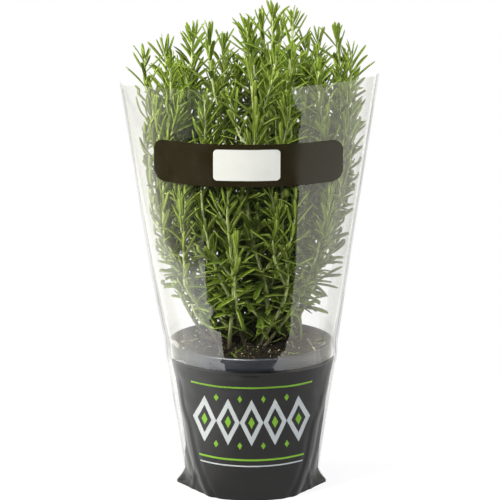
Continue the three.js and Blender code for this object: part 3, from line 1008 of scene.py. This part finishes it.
class Leaves:
    """Leaves to be grown, as lists of their bases, directions and sizes."""

    def __init__(self):
        self.rows = []

    def grow(self, base, way, top, length, width, bend, twist, age, tone):
        """Add a leaf: its foot, where it points, where its upper side faces, its sizes and its looks."""
        self.rows.append((*base, *way, *top, length, width, bend, twist, age, tone))

    def mesh(self, start):
        """Points, faces and marks of all the leaves, each held inside the film and off the soil."""
        rows = np.array(self.rows)
        base, way, top = rows[:, None, 0:3], rows[:, None, 3:6], rows[:, None, 6:9]
        length, width, bend, twist, age, tone = (rows[:, None, k, None] for k in range(9, 15))
        s = LEAF_STEPS[None, :, None]
        bend = np.where(np.abs(bend) < 1e-3, 1e-3, bend)
        centre = base + length * (np.sin(bend * s) / bend * way - (1 - np.cos(bend * s)) / bend * top)
        centre = kept_inside(centre)
        up = np.cos(bend * s) * top + np.sin(bend * s) * way
        ahead = unit(np.gradient(centre, axis=1))
        side = unit(np.cross(ahead, up))
        up = np.cross(side, ahead)
        turn = twist * s
        side, up = np.cos(turn) * side + np.sin(turn) * up, np.cos(turn) * up - np.sin(turn) * side
        half = (width / 2 * LEAF_WIDTHS[None, :, None])[..., None]
        flat = LEAF_SECTION[:, 0, None] * side[:, :, None] + LEAF_SECTION[:, 1, None] * up[:, :, None]
        points = centre[:, :, None] + half * flat
        shape = points.shape[:3]
        leaves, rings, sides = shape
        marks = {"age": age, "tone": tone, "under": LEAF_UNDER, "rib": LEAF_RIB_AND_GROOVE_SHADE, "edge": LEAF_EDGE_HIGHLIGHT,
                 "along": s}
        marks = {name: np.broadcast_to(values, shape).ravel() for name, values in marks.items()}
        one = tube_faces(rings, 0)[:, ::-1]
        faces = start + one[None] + (np.arange(leaves) * rings * sides)[:, None, None]
        return points.reshape(-1, 3), faces.reshape(-1, 4), marks


def fullness(x, y, z, margin):
    """How near a point is to the film: 1 is this margin away from it, and more is nearer or outside."""
    over = np.maximum(z - SLEEVE_HEIGHT - SLANT * x + 0.004, 0)
    half_width, half_depth, up = sleeve_halves(np.minimum(z, SLEEVE_HEIGHT))
    half_width, half_depth = half_width - margin + over, half_depth - margin - 0.001 + over
    power = 2 / seam_point(np.arctan2(y, x), up)
    return (np.abs(x) / half_width) ** 2 + (np.abs(y) / half_depth) ** power


def kept_inside(points, margin=0.0026):
    """Points moved in to where they clear the film, and up to where they clear the soil and the rim."""
    x, y, z = points[..., 0], points[..., 1], points[..., 2]
    for _ in range(3):
        full = fullness(x, y, z, margin)
        share = np.where(full > 1, full**-0.5, 1.0)
        x, y = x * share, y * share
    r = np.hypot(x, y)
    ground = np.where(r < SOIL_RADIUS - 0.001, soil_height(x, y), RIM_TOP) + 0.0008
    return np.stack([x, y, np.maximum(z, ground)], -1)


# ---- Sprigs ----
ROOT_DEPTH = 0.009  # how far under the top of the soil the stems start
TOP_LEAVES = 0.009  # how far a sprig's topmost leaves reach over the end of its stem
STEM_STEP = 0.0025  # the distance between a stem's rings of points


def bezier(a, b, c, d, count):
    """Points along the curve from a to d that b and c pull at."""
    s = np.linspace(0, 1, count)[:, None]
    return a * (1 - s) ** 3 + 3 * b * s * (1 - s) ** 2 + 3 * c * s**2 * (1 - s) + d * s**3


def sprig_path(tip, rng):
    """The line of a sprig's stem: rooted near the middle, leaning out low down, then upright."""
    x, y, z = tip
    stray = rng.normal(0, 1, (2, 2)) * [[0.006, 0.003], [0.012 - 0.1 * abs(x), 0.006]]
    share = 0.36 if z < 0.26 else 0.25  # low sprigs are rooted further out
    root = np.array([x * share, y * share, SOIL_EDGE + SOIL_CROWN - ROOT_DEPTH])
    end = np.array([x, y, z - TOP_LEAVES])
    root[:2] += stray[0]
    lean = np.array([x * 0.5 + stray[0, 0], y * 0.5 + stray[0, 1], root[2] + 0.022])
    straight = np.array([x * 1.05 + stray[1, 0], y + stray[1, 1], mix(root[2], end[2], 0.5)])
    return bezier(root, lean, straight, end, 120)


def by_distance(path, step):
    """A path resampled to even steps, with the distance of each point from its start."""
    gone = np.concatenate([[0], np.cumsum(np.linalg.norm(np.diff(path, axis=0), axis=1))])
    at = np.linspace(0, gone[-1], max(4, int(gone[-1] / step)))
    return np.stack([np.interp(at, gone, path[:, k]) for k in range(3)], -1), at


# How the leaves change with their distance from the stem's tip: the gaps between pairs, the leaves'
# lengths, their slopes from the stem in degrees, and their widths.
GAPS = [0, 0.004, 0.01, 0.025, 0.06], [0.0021, 0.0034, 0.005, 0.0061, 0.0065]
LENGTHS = [0, 0.003, 0.008, 0.02, 0.045], [0.0095, 0.013, 0.017, 0.021, 0.024]
SLOPES = [0, 0.004, 0.012, 0.035, 0.09, 0.15], [14, 27, 39, 50, 58, 64]
LOWEST_SLOPE = 110  # the old leaves over the soil droop
WIDTHS = [0, 0.008, 0.03], [0.002, 0.0025, 0.0031]
# The lowest leaves leave the soil bare outside a bowl: its radius at each height.
BOWL_HEIGHTS = [RIM_TOP + up for up in (0.004, 0.01, 0.02, 0.03, 0.05, 0.065)]
BOWL_RADII = [0.018, 0.033, 0.048, 0.058, 0.072, 0.2]


def leaf_end(base, way, out, lean, length):
    """Where a straight leaf would end that leans out from its stem by an angle."""
    return base + length * (math.cos(lean) * way + math.sin(lean) * out)


class Sprig:
    """One stem with its side shoots and leaves, gathered as tubes and rows of leaves."""

    def __init__(self, rng):
        self.rng = rng
        self.leaves = Leaves()
        self.points, self.faces, self.ages = [], [], []
        self.count = 0  # of the stems' points

    def stem(self, path, thick, thin, age, vigour, bare, tufts):
        """A tapered stem along a path, with leaves in pairs that are crosswise to each other.

        Its first part is bare. The tufts are the share of the leaves that have small ones at their foot.
        """
        rng = self.rng
        path, at = by_distance(path, STEM_STEP)
        total = at[-1]
        # It sways above its root, and bows in its middle.
        sway = 0.0009 * np.sin(at[:, None] / 0.02 + rng.uniform(0, 6, 2)) * smooth(at, 0, 0.04)[:, None]
        middle = (smooth(at, 0.01, 0.06) * smooth(at, total, total * 0.7))[:, None]
        bow = 0.0048 * np.sin(at[:, None] / rng.uniform(0.024, 0.05) + rng.uniform(0, 6, 2)) * middle
        path[:, :2] += sway + bow
        path = kept_inside(path, margin=0.0035)
        share = at / total
        radii = mix(thick, thin, share**0.8)
        rings, *frames = tube(path, radii, 0.07)
        self.points.append(rings.reshape(-1, 3))
        self.faces.append(tube_faces(len(path), self.count))
        self.ages.append(np.repeat(age * (1 - smooth(share, 0.07, 0.27)), TUBE_SIDES))
        self.count += len(self.points[-1])
        turn = rng.uniform(0, 2 * math.pi)
        here = total - 0.0006
        while here > bare:
            k = min(int(np.searchsorted(at, here)), len(at) - 1)
            where = np.array([np.interp(here, at, path[:, axis]) for axis in range(3)])
            self.pair(where, [f[k] for f in frames], radii[k], total - here, turn, vigour, tufts)
            turn += math.pi / 2 + rng.normal(0, 0.16)
            here -= np.interp(total - here, *GAPS) * rng.uniform(0.8, 1.2)
        return path, at

    def pair(self, where, frame, radius, from_tip, turn, vigour, tufts):
        """Two leaves opposite each other, some with a tuft of small leaves above their foot."""
        rng = self.rng
        way, across, third = frame
        low = smooth(where[2], RIM_TOP + 0.075, RIM_TOP + 0.01)
        length = np.interp(from_tip, *LENGTHS)
        slope = mix(np.interp(from_tip, *SLOPES), LOWEST_SLOPE, low)
        # Leaves take the grown colour within 55 mm of the tip. This quick change is partly painted shade
        # below the tips.
        age = float(np.clip(from_tip / 0.055, 0, 1))
        hug = 9 * ramp(from_tip, 0.002, 0.02) * (1 - low)
        for side in (0, math.pi):
            if rng.uniform() < 0.15 * low + 0.03 * age:
                continue
            angle = turn + side + rng.normal(0, 0.2 + 0.2 * low)
            out = math.cos(angle) * across + math.sin(angle) * third
            lean = math.radians(slope - hug + rng.normal(0, 9 + 18 * low))
            reach = length * vigour * rng.uniform(0.72, 1.15)
            if fullness(*leaf_end(where, way, out, lean, reach), margin=0.002) > 1:
                lean *= 0.65  # the film presses the leaf towards its stem
            if self.outside_bowl(leaf_end(where, way, out, lean, reach)):
                reach *= 0.55
                if self.outside_bowl(leaf_end(where, way, out, lean, reach)):
                    continue
            width = np.interp(from_tip, *WIDTHS) * rng.uniform(0.8, 1.25) * mix(1, 1.3, low)
            bend = rng.normal(0.06 + math.radians(1.8 * hug) + 0.35 * low, 0.2)
            self.leaf(where + out * radius * 0.7, way, out, lean, reach, width, bend, age)
            if from_tip > 0.03 and rng.uniform() < tufts:
                self.tuft(where + out * radius, way, out, lean, vigour, age)

    def outside_bowl(self, end):
        """Whether a leaf that ends here would be over the bare soil beside the plant, give or take."""
        limit = np.interp(end[2], BOWL_HEIGHTS, BOWL_RADII) + self.rng.exponential(0.0045) - 0.003
        return math.hypot(end[0], end[1]) > limit

    def leaf(self, base, way, out, lean, length, width, bend, age):
        """One leaf that leans out from its stem by an angle. The shortest ones are narrower."""
        rng = self.rng
        ahead = math.cos(lean) * way + math.sin(lean) * out
        top = math.sin(lean) * way - math.cos(lean) * out
        tone = float(np.clip(rng.normal(0.5, 0.28), 0, 1))
        width *= float(np.interp(length, [0.005, 0.016], [0.6, 1]))
        self.leaves.grow(base, ahead, top, length, width, bend, rng.normal(0, 0.22), age, tone)

    def tuft(self, base, way, out, lean, vigour, age):
        """A few small leaves that sprout between a leaf and the stem."""
        rng = self.rng
        for _ in range(rng.integers(2, 5)):
            strayed = unit(out + rng.normal(0, 0.45, 3))
            strayed = unit(strayed - way * np.dot(strayed, way))
            angle = lean * rng.uniform(0.25, 0.8)
            length = rng.uniform(0.0055, 0.0135) * vigour
            bend = rng.normal(0, 0.15)
            self.leaf(base, way, strayed, angle, length, SMALL_WIDTH, bend, age * 0.6)

    def shoot(self, path, at, here, length, out):
        """A side shoot that leaves the stem at a slant and turns upwards."""
        rng = self.rng
        start = np.array([np.interp(here, at, path[:, k]) for k in range(3)])
        s = np.linspace(0, 1, 40)[:, None]
        first = unit(out * 0.8 + UP * rng.uniform(0.55, 0.9))
        ways = unit(mix(first, UP + 0.18 * out, smooth(s, 0, 0.7)))
        line = start + np.cumsum(ways, 0) * length / len(s)
        line = kept_inside(line, margin=0.004)
        self.stem(line, thick=0.0011, thin=0.0006, age=0.1, vigour=rng.uniform(0.82, 1.0),
                  bare=length * 0.1, tufts=0.12)

    def finish(self, name, node):
        """The whole sprig as one piece, in the place of its node."""
        leaf_points, leaf_faces, marks = self.leaves.mesh(self.count)
        stem_faces = np.concatenate(self.faces)
        ages = np.concatenate([*self.ages, marks["age"]])
        nothing = np.zeros(self.count)
        marks = {k: np.concatenate([nothing, v]) for k, v in marks.items()}
        marks["age"] = ages
        worn = np.concatenate([np.zeros(len(stem_faces)), np.ones(len(leaf_faces))])
        points = np.concatenate([*self.points, leaf_points])
        piece(name, points, [stem_faces, leaf_faces], [BARK, LEAF], worn, marks, [node])


def make_sprigs():
    """Each sprig: its main stem, and side shoots spread along it."""
    for i, tip in enumerate(SPRIG_TIPS):
        rng = np.random.default_rng(100 + i)
        sprig = Sprig(rng)
        path, at = sprig.stem(sprig_path(tip, rng), thick=0.0015, thin=0.0008, age=1.0,
                              vigour=rng.uniform(0.94, 1.1), bare=0.019, tufts=0.5)
        foremost = tip[1] < -0.036
        shoots = rng.integers(2, 5) if foremost else rng.integers(3, 7)
        for share in np.linspace(0.16, 0.76, shoots):
            here = at[-1] * (share + rng.uniform(-0.05, 0.05))
            angle = rng.uniform(0, 2 * math.pi)
            out = np.array([math.cos(angle), math.sin(angle), 0.0])
            length = min(rng.uniform(0.04, 0.1), (at[-1] - here) - 0.018)
            sprig.shoot(path, at, here, length, out)
        sprig.finish(f"rosemary_sprig_{i + 1:02d}", f"sprig_{i + 1:02d}")


def make_fallen_leaves():
    """A few dropped leaves that lie on the soil."""
    rng = np.random.default_rng(61)
    fallen = Leaves()
    for x, y in zip(*scatter_places(rng, 14, 0.047)):
        angle = rng.uniform(0, 2 * math.pi)
        way = unit(np.array([math.cos(angle), math.sin(angle), rng.uniform(-0.05, 0.15)]))
        side = unit(np.cross(way, UP))
        base = np.array([x, y, float(soil_height(np.array(x), np.array(y))) + 0.0009])
        fallen.grow(base, way, np.cross(side, way), length=rng.uniform(0.007, 0.014),
                    width=SMALL_WIDTH, bend=rng.normal(0, 0.4), twist=rng.normal(0, 0.5), age=1.0,
                    tone=rng.uniform(0, 1))
    points, faces, marks = fallen.mesh(0)
    piece("fallen_leaves", points, [faces], [LEAF], marks=marks)


# ---- Stage, lights and camera ----
FLOOR_RADIUS = 0.36
FLOOR_GLOW = 0.82  # how bright the floor is for the camera
# How bright the floor's painted glow is in reflections on gloss.
FLOOR_GLARE = {"middle": 0.44, "left": 1.45, "far left": 1.8, "far right": 1.6}


def make_floor_paper():
    """Pale grey paper that glows for the camera and in reflections, but lights nothing.

    In reflections it is dimmer in the middle than towards its left and right ends.
    """
    material, nodes, shader = new_material("floor")
    tone = nodes.use(UNEVEN, Colour=rgb(118, 118, 118), Second=rgb(113, 113, 113), Patch_Scale=6.0,
                     Speck_Scale=300.0, Amount=0.4)
    path = nodes.add("LightPath").outputs
    across = nodes.add("SeparateXYZ", Vector=nodes.place()).outputs["X"]
    # Painted glow for reflections, brighter towards the floor's left and right ends than in its middle.
    far_left = nodes.spread(across, -0.22, -0.34, 0, FLOOR_GLARE["far left"])
    far_right = nodes.spread(across, 0.21, 0.33, 0, FLOOR_GLARE["far right"])
    left = nodes.spread(across, -0.03, -0.13, FLOOR_GLARE["middle"], FLOOR_GLARE["left"])
    glare = nodes.plus(nodes.plus(far_left, far_right), left)
    seen = nodes.blend(path["Is Glossy Ray"], (FLOOR_GLOW,) * 3 + (1,), glare)
    hidden = nodes.spread(path["Is Diffuse Ray"], 0, 1, 1, 0)
    nodes.fill(shader, Base_Color=tone["Colour"], Roughness=0.9, Specular_IOR_Level=0.1,
               Emission_Color=(1, 1, 1, 1), Emission_Strength=nodes.times(seen, hidden))
    return material


def make_stage():
    """A pale round floor with a painted glow that lights nothing, and that fades into a white backdrop."""
    segments = 96
    rings = turned([(radius, -0.0002) for radius in np.linspace(0.004, FLOOR_RADIUS, 24)], segments)
    faces = grid_faces(len(rings), segments, True)[:, ::-1].tolist()
    mesh = bpy.data.meshes.new("floor")
    mesh.from_pydata(rings.reshape(-1, 3).tolist(), [], [*faces, list(range(segments))])
    mesh.materials.append(make_floor_paper())
    floor = bpy.data.objects.new("floor", mesh)
    bpy.context.scene.collection.objects.link(floor)


WARM, NEUTRAL = (1, 0.97, 0.88), (1, 1, 1)
MIDDLE = (0, 0, 0.2)  # what most lights point at


def area_light(name, place, size, power, colour=NEUTRAL, hidden=(), target=MIDDLE):
    """A rectangular light that the camera doesn't see, hidden from some other kinds of ray too."""
    data = bpy.data.lights.new(name, "AREA")
    data.shape = "RECTANGLE"
    data.size, data.size_y = size
    data.energy = power
    data.color = colour
    light = bpy.data.objects.new(name, data)
    bpy.context.scene.collection.objects.link(light)
    light.location = place
    light.rotation_euler = (Vector(target) - Vector(place)).to_track_quat("-Z", "Y").to_euler()
    for ray in ("camera", *hidden):
        setattr(light, f"visible_{ray}", False)
    return light


def glare_panel(name, centre, size, glow, roll=0.0, colour=NEUTRAL):
    """An upright panel beside the plant that shows only as glare on gloss. Its size is along Y and Z.

    The roll lowers its front end by this many degrees.
    """
    power = glow * math.pi * size[0] * size[1]
    panel = area_light(name, centre, size, power, colour, ["diffuse", "transmission"], (0, *centre[1:]))
    panel.rotation_euler.rotate_axis("Z", math.radians(math.copysign(roll, centre[0])))


# The strips of glare beside the plant: each one's front and back end, low and high edge, and glow.
LEFT_GLARE = [
    (-0.45, 0.06, -0.03, 0.018, 2.35), (-0.45, 0.06, -0.065, -0.03, 2.7),
    (-0.45, 0.06, -0.118, -0.065, 2.95),
    (0.06, 0.14, -0.118, 0.018, 1.9), (0.14, 0.22, -0.118, 0.018, 1.3),
    (-0.45, 0.22, 0.018, 0.025, 2.0), (-0.45, 0.22, 0.025, 0.032, 1.2), (-0.45, 0.22, 0.032, 0.039, 0.5),
    (0.22, 0.85, -0.22, 0.16, 1.0),
    (-0.85, 0.1, 0.15, 0.35, 0.4), (0.1, 0.22, 0.15, 0.35, 0.7), (0.22, 0.85, 0.16, 0.36, 0.9),
]
RIGHT_GLARE = [
    (-0.57, 0.06, -0.12, 0.22, 1.95), (0.06, 0.18, -0.12, 0.22, 1.4), (0.18, 0.8, -0.16, 0.24, 0.7),
]


def glare_strips(name, x, strips, colour=NEUTRAL):
    """Glare panels on one side of the plant."""
    for i, (front, back, low, high, glow) in enumerate(strips):
        centre = (x, (front + back) / 2, (low + high) / 2)
        glare_panel(f"{name}_{i}", centre, (back - front, high - low), glow, 0.0, colour)


def make_lights():
    """Soft lights round the plant, and the panels that the film mirrors on its left and right."""
    area_light("key", (-1.15, -0.95, 1.15), (0.6, 0.6), 41, WARM)
    area_light("fill", (0.8, -1.1, 1.1), (0.8, 0.8), 15)
    area_light("side", (-1.3, -0.1, 0.7), (0.7, 0.9), 21, WARM, hidden=["glossy"])
    area_light("right_side", (1.3, -0.25, 0.6), (0.7, 0.9), 10, hidden=["glossy"])
    area_light("shine", (-0.55, -1.3, 1.25), (0.7, 0.7), 80, hidden=["diffuse", "transmission"])
    area_light("top", (0.0, 0.1, 1.5), (0.9, 0.9), 6, target=(0, 0, 0.15))
    area_light("back", (0, 1.1, 0.5), (1.4, 0.7), 3, hidden=["glossy"])
    glare_strips("left_glare", -0.6, LEFT_GLARE)
    glare_panel("left_glare_low", (-0.6, -0.68, -0.161), (0.5, 0.1), 2.8, 12)
    glare_strips("right_glare", 0.55, RIGHT_GLARE, WARM)
    glare_panel("right_glare_low", (0.55, -0.749, -0.169), (0.39, 0.1), 1.9, 13)
    glare_panel("right_glare_high", (0.55, -0.74, 0.186), (0.34, 0.068), 1.9)


# How bright the studio is: in reflections from in front and from behind, and as soft light.
ROOM = {"front": 0.015, "back": 0.9, "soft": 0.09}


def make_room():
    """White behind the object, where the camera looks, and a dim studio all round it."""
    world = bpy.data.worlds.new("studio")
    bpy.context.scene.world = world
    world.use_nodes = True
    nodes = Nodes(world.node_tree)
    path = nodes.add("LightPath").outputs
    way = nodes.add("SeparateXYZ", Vector=nodes.add("TexCoord").outputs["Generated"]).outputs
    mirrored = nodes.spread(way["Y"], 0.62, 0.8, ROOM["front"], ROOM["back"])
    dim = nodes.spread(path["Is Glossy Ray"], 0, 1, ROOM["soft"], mirrored)
    strength = nodes.calc("MAXIMUM", dim, path["Is Camera Ray"])
    nodes.fill(world.node_tree.nodes["Background"], Color=(1, 1, 1, 1), Strength=strength)


CAMERA_PLACE = (-0.0011, -1.6, 0.507)
CAMERA_TILT = 11.77  # degrees below level
FOCAL_LENGTH = 163.7  # for a sensor 36 mm wide


def make_camera():
    """The camera, where the photograph was taken from."""
    data = bpy.data.cameras.new("camera")
    data.sensor_width = 36
    data.lens = FOCAL_LENGTH
    camera = bpy.data.objects.new("camera", data)
    bpy.context.scene.collection.objects.link(camera)
    camera.location = CAMERA_PLACE
    camera.rotation_euler = (math.radians(90 - CAMERA_TILT), 0, 0)
    bpy.context.scene.camera = camera


make_camera()
make_stage()
make_lights()
make_room()
make_sleeve()
make_prints()
make_pot()
make_soil()
make_soil_litter()
make_sprigs()
bpy.context.scene.view_settings.view_transform = "Standard"
bpy.context.scene.cycles.transparent_max_bounces = 16
